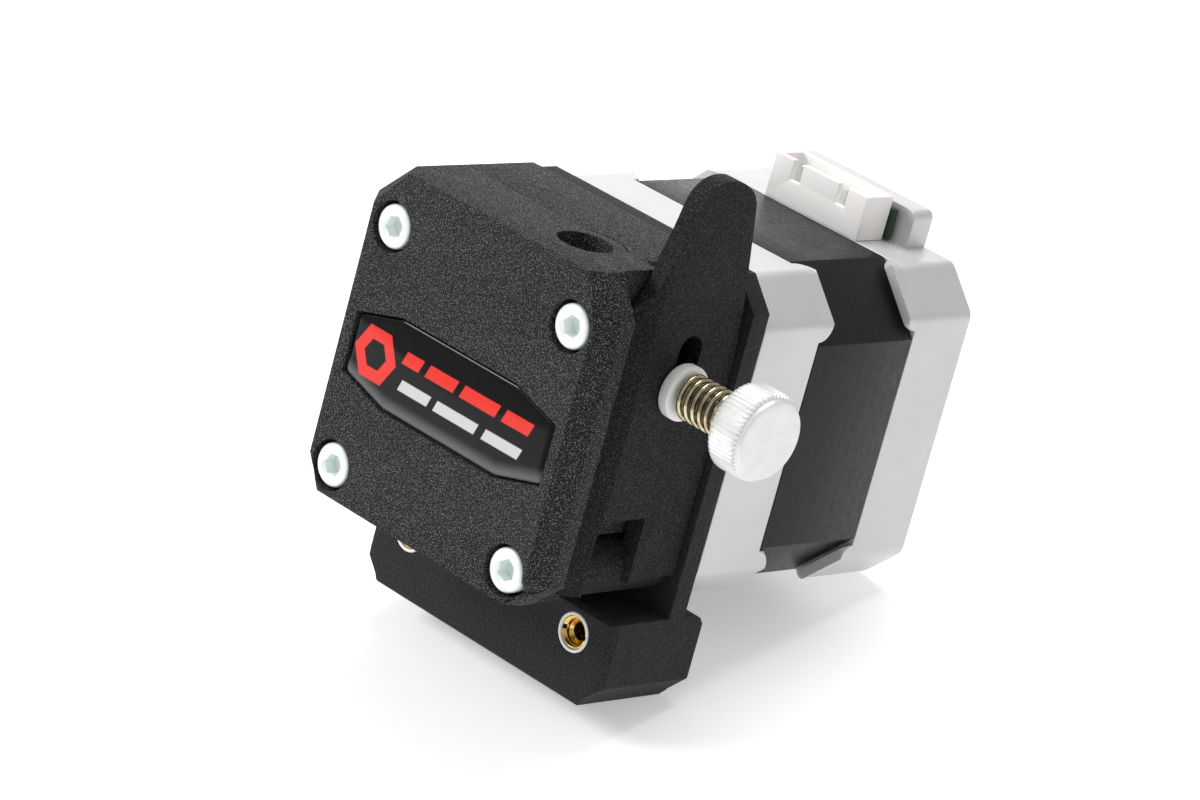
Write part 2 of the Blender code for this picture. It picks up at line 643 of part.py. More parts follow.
knob_ribs = []
for i in range(60):
    a = 2 * math.pi * i / 60
    knob_ribs.append((5.6 if i % 2 else 5.4, a))
thumb = loft(
    "thumb_screw",
    [
        [(t, THUMB_Y + min(r, cap) * math.cos(a), THUMB_Z + min(r, cap) * math.sin(a)) for r, a in knob_ribs]
        for t, cap in ((30.5, 5.0), (30.95, 9), (35.2, 9), (35.8, 5.0))
    ],
    KNOB, (30.5, *THUMB),
)
join(thumb, rod("tool", "x", THUMB, 1.5, 9.6, 32, 12))
smooth(thumb, 40)

nut = rod("captive_nut", "x", THUMB, 3.17, 11.05, 13.45, 6, ZINC, (11.05, *THUMB), math.pi / 2)
cut(nut, rod("tool", "x", THUMB, 1.58, 0, 30, 12))

# The moving pieces have their origins on their own joint axes; all pieces hang on one empty.
root = bpy.data.objects.new("extruder_gear_assembly", None)
bpy.context.scene.collection.objects.link(root)
for obj in list(bpy.data.objects):
    if obj.type == "MESH":
        obj.parent = root
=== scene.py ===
"""The looks of the extruder gear assembly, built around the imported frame.

Shapes are written in millimetres in the design's own axes (x = z = 0 on the motor
axis, y = 0 on the front of the cover) and shifted to the frame's origin, the
midpoint between the two inserts on the foot's front face.
"""

import math

import bmesh
import bpy
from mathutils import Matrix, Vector


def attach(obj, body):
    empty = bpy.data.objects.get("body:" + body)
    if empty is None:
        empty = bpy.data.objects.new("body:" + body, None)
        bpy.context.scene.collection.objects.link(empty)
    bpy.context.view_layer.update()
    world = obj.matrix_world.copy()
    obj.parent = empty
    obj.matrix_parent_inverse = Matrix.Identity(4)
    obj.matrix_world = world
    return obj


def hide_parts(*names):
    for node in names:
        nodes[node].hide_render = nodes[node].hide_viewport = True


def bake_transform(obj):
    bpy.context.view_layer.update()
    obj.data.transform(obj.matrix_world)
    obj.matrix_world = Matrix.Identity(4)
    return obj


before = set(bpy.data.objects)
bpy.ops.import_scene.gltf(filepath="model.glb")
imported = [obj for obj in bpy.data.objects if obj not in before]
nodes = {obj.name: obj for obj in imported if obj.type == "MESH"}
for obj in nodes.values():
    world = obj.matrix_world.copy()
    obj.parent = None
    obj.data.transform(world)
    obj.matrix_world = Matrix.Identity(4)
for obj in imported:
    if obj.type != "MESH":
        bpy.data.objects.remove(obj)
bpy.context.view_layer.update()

ORIGIN = Vector((0.0, 16.2, -25.4))
HALF = 21.15
TOP_Z, BOTTOM_Z = 22.9, -19.5
COVER_BACK = 10.9
HOUSING_FRONT, HOUSING_BACK = 11.0, 25.0
HOUSING_RIGHT = 17.2
FILAMENT = (8.3, 7.2)
MOTOR_AXIS = (0.0, 0.0)
DRIVE_AXIS = (4.3, 9.25)
IDLER_AXIS = (12.3, 9.25)
PIVOT = (15.5, -15.5)
THUMB = (16.3, 8.7)
INSERT_X = 14.75
S = 15.5
CORNERS = {"top_left": (-S, S), "top_right": (S, S), "bottom_left": (-S, -S), "bottom_right": (S, -S)}


# ------------------------------------------------------------------ mesh helpers
def to_frame(p):
    return (Vector(p) - ORIGIN) * 0.001


def swing(axis, u, v, t):
    return {"y": (u, t, v), "x": (t, u, v), "z": (u, v, t)}[axis]


def make(name, points, faces):
    mesh = bpy.data.meshes.new(name)
    mesh.from_pydata([to_frame(p) for p in points], [], faces)
    work = bmesh.new()
    work.from_mesh(mesh)
    bmesh.ops.recalc_face_normals(work, faces=work.faces)
    work.to_mesh(mesh)
    work.free()
    obj = bpy.data.objects.new(name, mesh)
    bpy.context.scene.collection.objects.link(obj)
    return obj


def loft(name, rings):
    n = len(rings[0])
    points = [p for ring in rings for p in ring]
    faces = [tuple(reversed(range(n)))]
    for r in range(len(rings) - 1):
        a, b = r * n, (r + 1) * n
        for i in range(n):
            j = (i + 1) % n
            faces.append((a + i, a + j, b + j, b + i))
    last = (len(rings) - 1) * n
    faces.append(tuple(range(last, last + n)))
    return make(name, points, faces)


def prism(name, outline, axis, start, end):
    return loft(name, [[swing(axis, u, v, t) for u, v in outline] for t in (start, end)])


def box(name, low, high):
    return prism(name, [(low[0], low[1]), (high[0], low[1]), (high[0], high[1]), (low[0], high[1])], "z", low[2], high[2])


def circle(u, v, r, n=64, phase=0.0):
    return [(u + r * math.cos(phase + 2 * math.pi * i / n), v + r * math.sin(phase + 2 * math.pi * i / n)) for i in range(n)]


def rod(axis, centre, r, start, end, n=64, phase=0.0, name="tool"):
    return prism(name, circle(*centre, r, n, phase), axis, start, end)


def stacked(name, axis, centre, steps, n=48):
    return loft(name, [[swing(axis, u, v, t) for u, v in circle(*centre, r, n)] for r, t in steps])


def turned(name, axis, centre, profile, n=64):
    """Ring: a closed (radius, along) profile off the axis, turned round it."""
    points, faces, size = [], [], len(profile)
    for i in range(n):
        a = 2 * math.pi * i / n
        for r, t in profile:
            points.append(swing(axis, centre[0] + r * math.cos(a), centre[1] + r * math.sin(a), t))
    for i in range(n):
        j = (i + 1) % n
        for k in range(size):
            m = (k + 1) % size
            faces.append((i * size + k, j * size + k, j * size + m, i * size + m))
    return make(name, points, faces)


def settle(obj):
    """Applies the object's modifiers to its mesh."""
    bpy.context.view_layer.update()
    graph = bpy.context.evaluated_depsgraph_get()
    result = bpy.data.meshes.new_from_object(obj.evaluated_get(graph))
    obj.modifiers.clear()
    obj.data = result
    result.name = obj.name
    return obj


def combine(target, tools, operation):
    for tool in tools:
        step = target.modifiers.new("cut", "BOOLEAN")
        step.operation = operation
        step.solver = "EXACT"
        step.object = tool
        settle(target)
        bpy.data.objects.remove(tool)
    return target


def cut(target, *tools):
    return combine(target, tools, "DIFFERENCE")


def join(target, *tools):
    return combine(target, tools, "UNION")


def common(target, *tools):
    return combine(target, tools, "INTERSECT")


def bevel(obj, width_mm, segments=3, degrees=28, smooth=38):
    """Rounds the sharp edges, merging what Booleans left doubled first."""
    work = bmesh.new()
    work.from_mesh(obj.data)
    bmesh.ops.remove_doubles(work, verts=work.verts, dist=2e-6)
    bmesh.ops.dissolve_limit(work, angle_limit=math.radians(0.5), verts=work.verts, edges=work.edges)
    work.to_mesh(obj.data)
    work.free()
    step = obj.modifiers.new("round", "BEVEL")
    step.width = width_mm * 0.001
    step.segments = segments
    step.limit_method = "ANGLE"
    step.angle_limit = math.radians(degrees)
    step.use_clamp_overlap = True
    step.miter_outer = "MITER_ARC"
    settle(obj)
    obj.data.shade_smooth()
    obj.data.set_sharp_from_angle(angle=math.radians(smooth))
    return obj


def smooth(obj, degrees=35):
    obj.data.shade_smooth()
    obj.data.set_sharp_from_angle(angle=math.radians(degrees))
    return obj


def finish_piece(obj, mat, body, *stands_for, slot=None):
    obj.data.materials.clear()
    obj.data.materials.append(mat)
    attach(obj, body)
    if stands_for:
        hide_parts(*stands_for)
    return obj


# ------------------------------------------------------------------ materials
class Nodes:
    """A material's node tree with short calls for the nodes used here."""

    def __init__(self, name):
        self.mat = bpy.data.materials.new(name)
        self.mat.use_nodes = True
        self.tree = self.mat.node_tree
        self.tree.nodes.clear()
        self.out = self.tree.nodes.new("ShaderNodeOutputMaterial")
        self.shader = self.tree.nodes.new("ShaderNodeBsdfPrincipled")
        self.tree.links.new(self.shader.outputs[0], self.out.inputs[0])
        self.coords = self.tree.nodes.new("ShaderNodeTexCoord").outputs["Object"]

    def link(self, a, b):
        self.tree.links.new(a, b)

    def set(self, **values):
        for key, value in values.items():
            self.shader.inputs[key.replace("_", " ")].default_value = value
        return self

    def mapped(self, scale=(1, 1, 1), rotation=(0, 0, 0)):
        node = self.tree.nodes.new("ShaderNodeMapping")
        node.inputs["Scale"].default_value = scale
        node.inputs["Rotation"].default_value = rotation
        self.link(self.coords, node.inputs["Vector"])
        return node.outputs[0]

    def noise(self, scale, detail=2.0, rough=0.5, vector=None):
        node = self.tree.nodes.new("ShaderNodeTexNoise")
        node.inputs["Scale"].default_value = scale
        node.inputs["Detail"].default_value = detail
        node.inputs["Roughness"].default_value = rough
        self.link(vector or self.coords, node.inputs["Vector"])
        return node.outputs["Fac"]

    def wave(self, scale, direction="Y", distortion=0.0, detail=0.0):
        node = self.tree.nodes.new("ShaderNodeTexWave")
        node.bands_direction = direction
        node.inputs["Scale"].default_value = scale
        node.inputs["Distortion"].default_value = distortion
        node.inputs["Detail"].default_value = detail
        self.link(self.coords, node.inputs["Vector"])
        return node.outputs["Fac"]

    def voronoi(self, scale, feature="F1", output="Distance"):
        node = self.tree.nodes.new("ShaderNodeTexVoronoi")
        node.feature = feature
        node.inputs["Scale"].default_value = scale
        self.link(self.coords, node.inputs["Vector"])
        return node.outputs[output]

    def ramp(self, fac, stops):
        node = self.tree.nodes.new("ShaderNodeValToRGB")
        for i, (at, colour) in enumerate(stops):
            e = node.color_ramp.elements[i] if i < 2 else node.color_ramp.elements.new(at)
            e.position = at
            e.color = (*colour, 1.0) if len(colour) == 3 else colour
        self.link(fac, node.inputs[0])
        return node.outputs[0]

    def math(self, op, a, b=None, c=None):
        node = self.tree.nodes.new("ShaderNodeMath")
        node.operation = op
        for i, value in enumerate((a, b, c)):
            if value is None:
                continue
            if isinstance(value, (int, float)):
                node.inputs[i].default_value = value
            else:
                self.link(value, node.inputs[i])
        return node.outputs[0]

    def mix(self, fac, a, b, blend="MIX"):
        node = self.tree.nodes.new("ShaderNodeMix")
        node.data_type = "RGBA"
        node.blend_type = blend
        for key, value in ((0, fac), (6, a), (7, b)):
            if isinstance(value, (int, float)):
                node.inputs[key].default_value = value
            elif isinstance(value, tuple):
                node.inputs[key].default_value = (*value, 1.0)
            else:
                self.link(value, node.inputs[key])
        return node.outputs[2]

    def split(self):
        node = self.tree.nodes.new("ShaderNodeSeparateXYZ")
        self.link(self.coords, node.inputs[0])
        return node.outputs

    def bump(self, height, strength, distance_mm, before=None):
        node = self.tree.nodes.new("ShaderNodeBump")
        node.inputs["Strength"].default_value = strength
        node.inputs["Distance"].default_value = distance_mm * 0.001
        self.link(height, node.inputs["Height"])
        if before is not None:
            self.link(before, node.inputs["Normal"])
        return node.outputs[0]

    def to(self, socket, value):
        self.link(value, self.shader.inputs[socket])
        return self


def nylon(name, grain=1.0, lines=0.0, base=0.008, sparkle=0.95):
    """Black laser-sintered nylon: fused grains, pale sparkling specks, and on the lever fine layer lines."""
    m = Nodes(name)
    grains = m.noise(2600 * grain, 3.0, 0.62)
    fine = m.noise(6200 * grain, 2.0, 0.6)
    broad = m.noise(120, 3.0, 0.55)
    specks = m.ramp(m.noise(6800 * grain, 1.0, 0.6), [(0.54, (0, 0, 0)), (0.74, (1, 1, 1))])
    tone = m.ramp(grains, [(0.30, (base * 0.42,) * 3), (0.52, (base,) * 3), (0.75, (base * 2.3,) * 3)])
    tone = m.mix(m.math("MULTIPLY", broad, 0.30), tone, (base * 1.5,) * 3)
    colour = m.mix(m.math("MULTIPLY", specks, sparkle), tone, (0.26, 0.26, 0.26))
    m.to("Base Color", colour)
    m.to("Roughness", m.ramp(fine, [(0.3, (0.50,) * 3), (0.7, (0.78,) * 3)]))
    m.set(Specular_IOR_Level=0.15)
    normal = m.bump(grains, 0.85, 0.16)
    normal = m.bump(fine, 0.7, 0.07, normal)
    if lines:
        stretched = m.noise(1.0, 3.0, 0.62, m.mapped((2300, 2300, 900)))
        normal = m.bump(stretched, lines, 0.16, normal)
    m.to("Normal", normal)
    return m.mat


def metal(name, colour, rough, metallic=1.0, grain=900, bump=0.08, spread=0.08, distance=0.03, tint=None, tint_scale=180):
    m = Nodes(name)
    n = m.noise(grain, 4.0, 0.6)
    broad = m.noise(tint_scale, 3.0, 0.6)
    second = tint or tuple(c * 0.86 for c in colour)
    m.to("Base Color", m.mix(m.ramp(broad, [(0.35, (0, 0, 0)), (0.65, (1, 1, 1))]), colour, second))
    m.to("Roughness", m.ramp(n, [(0.25, (rough - spread,) * 3), (0.75, (rough + spread,) * 3)]))
    m.set(Metallic=metallic)
    m.to("Normal", m.bump(n, bump, distance))
    return m.mat


def laminations():
    m = Nodes("laminations_look")
    sheets = m.wave(160.0, "Y", 0.25, 1.0)
    n = m.noise(1500, 3.0, 0.6)
    along = m.noise(1.0, 4.0, 0.6, m.mapped((60, 2600, 60)))
    colour = m.ramp(along, [(0.3, (0.005,) * 3), (0.7, (0.013, 0.012, 0.013))])
    m.to("Base Color", colour)
    m.to("Roughness", m.ramp(n, [(0.3, (0.34,) * 3), (0.7, (0.50,) * 3)]))
    m.set(Specular_IOR_Level=0.30)
    normal = m.bump(along, 0.35, 0.05)
    normal = m.bump(sheets, 0.16, 0.03, normal)
    m.to("Normal", m.bump(n, 0.10, 0.03, normal))
    return m.mat


def plastic(name, colour, rough, scatter=0.0, grain=1500, bump=0.05):
    m = Nodes(name)
    n = m.noise(grain, 3.0, 0.55)
    broad = m.noise(220, 2.0, 0.5)
    m.to("Base Color", m.mix(m.math("MULTIPLY", broad, 0.35), colour, tuple(c * 0.88 for c in colour)))
    m.to("Roughness", m.ramp(n, [(0.3, (rough - 0.06,) * 3), (0.7, (rough + 0.06,) * 3)]))
    if scatter:
        m.set(Subsurface_Weight=scatter, Subsurface_Scale=0.0012)
    m.to("Normal", m.bump(n, bump, 0.04))
    return m.mat


def badge_look():
    """Black print under a clear dome: a hollow hexagon and two bars, with no lettering."""
    m = Nodes("badge_look")
    x, _, z = m.split()
    zc = 25.4e-3                                     # height of the badge's middle in the frame
    z = m.math("SUBTRACT", z, zc)

    def inside(value, half, soft=0.00006):
        node = m.tree.nodes.new("ShaderNodeMapRange")
        node.inputs["From Min"].default_value = half + soft
        node.inputs["From Max"].default_value = half - soft
        m.link(value, node.inputs["Value"])
        return node.outputs[0]

    def bar(cx, cz, hx, hz, slant=0.35):
        dx = m.math("ABSOLUTE", m.math("SUBTRACT", m.math("SUBTRACT", x, m.math("MULTIPLY", m.math("SUBTRACT", z, cz), slant)), cx))
        dz = m.math("ABSOLUTE", m.math("SUBTRACT", z, cz))
        return m.math("MULTIPLY", inside(dx, hx), inside(dz, hz))

    def hexagon(cx, cz, r):
        ax = m.math("ABSOLUTE", m.math("SUBTRACT", x, cx))
        az = m.math("ABSOLUTE", m.math("SUBTRACT", z, cz))
        slanted = m.math("ADD", m.math("MULTIPLY", ax, 0.8660254), m.math("MULTIPLY", az, 0.5))
        return inside(m.math("MAXIMUM", slanted, az), r)

    hex_ring = m.math("SUBTRACT", hexagon(-13.0e-3, 0, 3.25e-3), hexagon(-13.0e-3, 0, 1.7e-3))
    red = hex_ring
    for cx, hx in ((-6.7e-3, 1.5e-3), (-1.6e-3, 2.5e-3), (5.1e-3, 3.1e-3), (11.6e-3, 2.3e-3)):
        red = m.math("MAXIMUM", red, bar(cx, 1.65e-3, hx, 0.85e-3))
    white = None
    for cx, hx in ((-5.3e-3, 2.6e-3), (2.0e-3, 3.6e-3), (10.0e-3, 3.1e-3)):
        b = bar(cx, -1.75e-3, hx, 0.72e-3)
        white = b if white is None else m.math("MAXIMUM", white, b)
    print_and_painted_reflection = m.ramp(m.noise(900, 2.0), [(0.3, (0.004,) * 3), (0.7, (0.006,) * 3)])
    # painted reflection: the colour pales to grey towards the dome's lower edge, standing in for the floor reflected
    # there
    rise = m.math("SUBTRACT", m.math("ADD", z, 5.7e-3), m.math("MULTIPLY", m.math("MAXIMUM", m.math("SUBTRACT", m.math("ABSOLUTE", x), 9.95e-3), 0.0), 0.276))
    pale = m.tree.nodes.new("ShaderNodeMapRange")
    pale.interpolation_type = "SMOOTHSTEP"
    pale.inputs["From Min"].default_value = 2.1e-3
    pale.inputs["From Max"].default_value = 0.2e-3
    m.link(rise, pale.inputs["Value"])
    print_and_painted_reflection = m.mix(pale.outputs[0], print_and_painted_reflection, (0.13, 0.13, 0.132))
    colour = m.mix(red, print_and_painted_reflection, (0.78, 0.045, 0.035))
    colour = m.mix(white, colour, (0.62, 0.60, 0.61))
    m.to("Base Color", colour)
    m.to("Roughness", m.ramp(m.noise(700, 2.0), [(0.3, (0.24,) * 3), (0.7, (0.30,) * 3)]))
    m.set(Coat_Weight=0.28, Coat_Roughness=0.03, Coat_IOR=1.45, Specular_IOR_Level=0.05)
    m.to("Normal", m.bump(m.noise(160, 1.0), 0.02, 0.05))
    return m.mat


NYLON = nylon("sintered_nylon", 1.0)
NYLON_LEVER = nylon("sintered_nylon_lever", 0.9, 0.9, 0.007, 0.3)
NYLON_FOOT = nylon("sintered_nylon_bracket", 1.1, 0.0, 0.018, 0.2)
CAST = metal("cast_aluminium_look", (0.69, 0.68, 0.67), 0.50, 0.45, 2600, 0.18, 0.07, 0.04, (0.65, 0.642, 0.635), 90)
ZINC = metal("zinc_look", (0.98, 1.0, 0.99), 0.34, 0.15, 1500, 0.10, 0.07, 0.02, (0.82, 0.91, 0.89), 700)
STEEL = metal("ground_steel_look", (0.62, 0.62, 0.63), 0.26, 1.0, 2400, 0.08)
HARD = metal("hardened_look", (0.42, 0.41, 0.40), 0.34, 1.0, 2000, 0.12)
BRASS = metal("brass_look", (0.93, 0.66, 0.22), 0.24, 1.0, 1800, 0.12, 0.07, 0.02, (0.80, 0.52, 0.14), 900)
SPRING = metal("spring_look", (0.66, 0.59, 0.42), 0.20, 1.0, 2200, 0.06, 0.06, 0.02, (0.42, 0.34, 0.20), 900)
KNOB = metal("knob_look", (0.84, 0.845, 0.825), 0.38, 0.30, 900, 0.12, 0.10, 0.03, (0.79, 0.79, 0.78), 500)
TIN = metal("tin_look", (0.80, 0.80, 0.77), 0.22)
COPPER = metal("copper_look", (0.70, 0.28, 0.10), 0.36, 0.9)
WHITE = plastic("white_acetal_look", (0.93, 0.93, 0.91), 0.42, 0.15)
SHROUD = plastic("connector_look", (1.0, 1.0, 0.98), 0.45, 0.2)
BOARD = plastic("board_look", (0.010, 0.040, 0.014), 0.35)
LAMINATE = laminations()
BADGE = badge_look()

# ------------------------------------------------------------------ front cover
BACK_OUTLINE = [(-16.2, TOP_Z), (17.4, TOP_Z), (HALF, 17.9), (HALF, -15.6), (17.2, BOTTOM_Z), (-17.2, BOTTOM_Z), (-HALF, -15.6), (-HALF, 17.9)]
FACE_OUTLINE = [(-14.8, 22.65), (16.1, 22.75), (19.0, 17.2), (19.0, -15.1), (16.6, -19.3), (-16.6, -19.3), (-19.3, -15.3), (-19.3, 17.2)]
BADGE_SEAT = [(-17.5, -3.9), (-10, -6), (10, -6), (17.5, -3.9), (17.5, 3.9), (10, 6), (-10, 6), (-17.5, 3.9)]

cover = loft("cover_shell", [
    [(x, 0.0, z) for x, z in FACE_OUTLINE],
    [(x, 2.4, z) for x, z in BACK_OUTLINE],
    [(x, COVER_BACK, z) for x, z in BACK_OUTLINE],
])
cut(cover, box("tool", (HOUSING_RIGHT, 4.7, -30), (30, 20, 40)))
join(cover, rod("z", FILAMENT, 5.0, 16.5, TOP_Z))
cut(
    cover,
    rod("z", FILAMENT, 3.45, 17.4, 30),
    rod("z", FILAMENT, 1.25, -30, 18, 24),
    rod("z", FILAMENT, 2.1, -30, -13.5, 32),
    rod("y", DRIVE_AXIS, 4.8, 3.85, 12),
    rod("y", DRIVE_AXIS, 4.06, 1.4, 5),
    prism("tool", [(8.4, 4.5), (20.3, 4.5), (20.3, 14.0), (8.4, 14.0)], "y", 3.8, 20),
    prism("tool", [(8.6, 6.0), (20.3, 6.0), (20.3, 12.1), (8.6, 12.1)], "y", 2.0, 4.5),
    rod("y", PIVOT, 4.35, 9.2, 20),
    box("tool", (PIVOT[0], 9.2, -30), (30, 20, -11.15)),
    box("tool", (11.15, 9.2, -30), (30, 20, PIVOT[1])),
    prism("tool", BADGE_SEAT, "y", -1, 1.05),
)
for x, z in CORNERS.values():
    cut(cover, rod("y", (x, z), 3.2, -1, 3.45), rod("y", (x, z), 1.7, 3, 20, 32))
bevel(cover, 0.28, 3)
finish_piece(cover, NYLON, "housing", "front_cover", slot="black_nylon")

# ------------------------------------------------------------------ badge: a clear dome over the print
flat = [(-17.2, -3.7), (-9.95, -5.7), (9.95, -5.7), (17.2, -3.7), (17.2, 3.7), (9.95, 5.7), (-9.95, 5.7), (-17.2, 3.7)]


def rounded(outline, radius, n=5):
    """The outline with its corners rounded."""
    points = []
    for i, p in enumerate(outline):
        p = Vector(p)
        a, b = Vector(outline[i - 1]) - p, Vector(outline[(i + 1) % len(outline)]) - p
        half = a.angle(b) / 2
        reach = min(radius / math.tan(half), a.length * 0.45, b.length * 0.45)
        start, end = p + a.normalized() * reach, p + b.normalized() * reach
        for k in range(n + 1):
            t = k / n
            points.append(tuple((1 - t) ** 2 * start + 2 * t * (1 - t) * p + t * t * end))
    return points


def resampled(outline, n):
    """n points spread evenly along the closed outline."""
    pts = [Vector(p) for p in outline]
    pts.append(pts[0])
    lengths = [(pts[i + 1] - pts[i]).length for i in range(len(pts) - 1)]
    total, result, i, done = sum(lengths), [], 0, 0.0
    for k in range(n):
        goal = total * k / n
        while done + lengths[i] < goal:
            done += lengths[i]
            i += 1
        result.append(tuple(pts[i].lerp(pts[i + 1], (goal - done) / lengths[i])))
    return result


rim = resampled(rounded(flat, 0.5), 160)
rings = [[(x, 1.0, z) for x, z in rim]]
for k in range(9):
    a = math.pi / 2 * k / 8
    inset, rise = 0.9 * (1 - math.cos(a)), 0.50 + 0.28 * math.sin(a)
    rings.append([(x * (1 - inset / 17.2), 1.0 - rise, z * (1 - inset / 5.7)) for x, z in rim])
for share in (0.8, 0.6, 0.4, 0.2, 0.06):
    rings.append([(x * 0.945 * share, 1.0 - 0.78 - 0.16 * (1 - share**2), z * 0.84 * share) for x, z in rim])
badge = smooth(loft("badge_dome", rings), 60)
finish_piece(badge, BADGE, "housing", "badge", slot="badge_gloss")

# ------------------------------------------------------------------ rear housing
HOUSING_OUTLINE = [(-16.2, TOP_Z), (14.9, TOP_Z), (HOUSING_RIGHT, 20.0), (HOUSING_RIGHT, BOTTOM_Z), (-17.2, BOTTOM_Z), (-HALF, -15.6), (-HALF, 17.9)]
housing = loft("housing_shell", [
    [(x, HOUSING_FRONT, z) for x, z in HOUSING_OUTLINE],
    [(x, 22.4, z) for x, z in HOUSING_OUTLINE],
    [(x, HOUSING_BACK, z - (0.9 if z > 0 else 0)) for x, z in HOUSING_OUTLINE],
])
cut(
    housing,
    rod("z", FILAMENT, 5.3, 16.3, 30),
    rod("y", DRIVE_AXIS, 4.8, 5, 15.0),
    rod("y", DRIVE_AXIS, 3.2, 5, 30, 32),
    rod("y", DRIVE_AXIS, 4.06, 15.9, 30),
    rod("y", DRIVE_AXIS, 7.6, 19.8, 30),
    rod("y", MOTOR_AXIS, 4.6, 19.4, 30),
    prism("tool", [(8.4, 4.5), (30, 4.5), (30, 14.0), (8.4, 14.0)], "y", 5, 12.6),
    prism("tool", [(10.9, 5.2), (13.6, 5.2), (13.6, 12.2), (10.9, 12.2)], "y", 5, 19.2),
    rod("x", THUMB, 1.8, 9.0, 30, 32),
    rod("y", PIVOT, 4.35, 5, 30),
    box("tool", (PIVOT[0], 5, -30), (30, 30, -11.15)),
    box("tool", (11.15, 5, -30), (30, 30, PIVOT[1])),
)
for key in ("top_left", "top_right", "bottom_left"):
    cut(housing, rod("y", CORNERS[key], 1.7, 5, 30, 32))
bevel(housing, 0.3, 3)
finish_piece(housing, NYLON, "housing", "rear_housing", slot="black_nylon")

# ------------------------------------------------------------------ bracket with its foot block
bracket = prism("bracket_body", [
    (16.2, -33.3), (16.2, -22.2), (16.8, -21.6), (25.3, -21.6), (25.3, 21.8), (28.1, 21.8), (28.1, -21.5), (29.6, -21.5),
    (31.1, -21.9), (31.8, -22.8), (31.8, -32.9), (31.1, -33.6), (16.5, -33.6),
], "x", -HALF, HALF)
common(bracket, prism("tool", [
    (-17.6, -34.6), (17.6, -34.6), (18.6, -32.7), (HALF, -30.1), (HALF, 18.0), (17.4, 21.8), (17.4, 30),
    (-17.4, 30), (-17.4, 21.8), (-HALF, 18.0), (-HALF, -30.1), (-18.6, -32.7),
], "y", 10, 40))
for side in (-1, 1):
    cut(bracket, prism("tool", [(side * (HALF - 1.8), 15.2), (side * (HALF + 1), 15.2), (side * (HALF + 1), 18.0)], "z", -34.6, -21.2))
cut(bracket, rod("y", MOTOR_AXIS, 11.5, 20, 40))
for x, z in CORNERS.values():
    cut(bracket, rod("y", (x, z), 1.7, 20, 40, 32))
for side in (-1, 1):
    cut(bracket, rod("y", (side * INSERT_X, -25.4), 2.55, 10, 16.6), rod("y", (side * INSERT_X, -25.4), 2.2, 10, 22.2, 40))
bevel(bracket, 0.5, 4)
finish_piece(bracket, NYLON_FOOT, "housing", "mount_bracket", slot="black_nylon")

# Inserts: turned brass with a slotted mouth and a stepped bore, in a pale ring.
for side, key in ((-1, "insert_left"), (1, "insert_right")):
    c = (side * INSERT_X, -25.4)
    sleeve = turned(key + "_sleeve", "y", c, [(1.15, 18.4), (1.15, 17.6), (1.55, 17.2), (1.55, 16.75), (1.85, 16.42), (1.98, 16.42), (2.08, 16.52), (2.08, 21.8), (1.15, 21.8)], 56)
    cut(sleeve, box("tool", (c[0] - 3, 16.0, c[1] - 0.28), (c[0] + 3, 17.0, c[1] + 0.28)))
    bevel(sleeve, 0.05, 2)
    finish_piece(sleeve, BRASS, "housing", key, slot="brass")
    ring = turned(key + "_ring", "y", c, [(2.11, 16.56), (2.11, 16.26), (2.18, 16.20), (2.42, 16.20), (2.50, 16.28), (2.50, 16.56)], 64)
    finish_piece(smooth(ring), WHITE, "housing", slot="white_nylon")

# ------------------------------------------------------------------ socket head screws
def socket_head(name, centre, front, depth, shank_end, sign=1, head=2.75, hexagon=1.44, phase=0.0):
    """M3 cap screw along +Y (sign 1: head in front) or -Y (head at the back)."""
    def at(t):
        return front + sign * t
    steps = [(2.18, at(0.0)), (2.42, at(0.03)), (2.60, at(0.12)), (2.71, at(0.28)), (head, at(0.5)), (head, at(depth)), (1.5, at(depth)), (1.5, shank_end)]
    if sign < 0:
        steps = steps[::-1]
    screw = stacked(name, "y", centre, steps, 56)
    lo, hi = sorted((at(-1.0), at(1.7)))
    cut(screw, rod("y", centre, hexagon, lo, hi, 6, phase))
    lo, hi = sorted((at(-0.02), at(0.22)))
    wide, narrow = (1.72, 1.30)
    cone = stacked("tool", "y", centre, [(wide, lo), (narrow, hi)] if sign > 0 else [(narrow, lo), (wide, hi)], 48)
    cut(screw, cone)
    return smooth(screw, 30)


names = {"top_left": "cover_screw_top_left", "top_right": "cover_screw_top_right", "bottom_left": "cover_screw_bottom_left", "bottom_right": "lever_pivot_screw"}
for (key, node), phase in zip(names.items(), (0.3, 0.9, 0.1, 0.6)):
    finish_piece(socket_head(node + "_head", CORNERS[key], 0.3, 3.0, 31.8, phase=phase), ZINC, "housing", node, slot="zinc")
for (key, c), phase in zip(CORNERS.items(), (0.2, 0.7, 0.5, 0.0)):
    finish_piece(socket_head("rear_screw_" + key, c, 66.2, 2.7, 33.7, -1, 2.7, 1.3, phase), ZINC, "housing", "motor_screw_" + key, slot="zinc")

# ------------------------------------------------------------------ idler lever
PROFILE = [
    (6.3, -17.2), (6.3, 17.6), (8.7, 21.0), (9.5, 24.6), (10.7, 28.4), (11.5, 31.6), (12.1, 33.0), (13.2, 34.1), (14.8, 34.8),
    (16.8, 34.9), (18.6, 34.4), (20.2, 33.4), (21.2, 32.0), (21.9, 28.9), (23.2, 22.8), (24.0, 18.7), (24.9, 12.0),
    (24.9, -16.0), (17.6, -16.4), (15.2, -17.6), (7.0, -17.9),
]


def eased(outline, first, last, n=4):
    """Smooths the points between two indexes with a Catmull-Rom curve; the rest stay as they are."""
    points = []
    for i, p in enumerate(outline):
        points.append(p)
        if first <= i < last:
            a, b, c, d = (Vector(outline[j % len(outline)]) for j in (i - 1 if i > first else i, i, i + 1, i + 2 if i + 1 < last else i + 1))
            for k in range(1, n):
                t = k / n
                q = 0.5 * (2 * b + (c - a) * t + (2 * a - 5 * b + 4 * c - d) * t * t + (3 * b - a - 3 * c + d) * t**3)
                points.append(tuple(q))
    return points


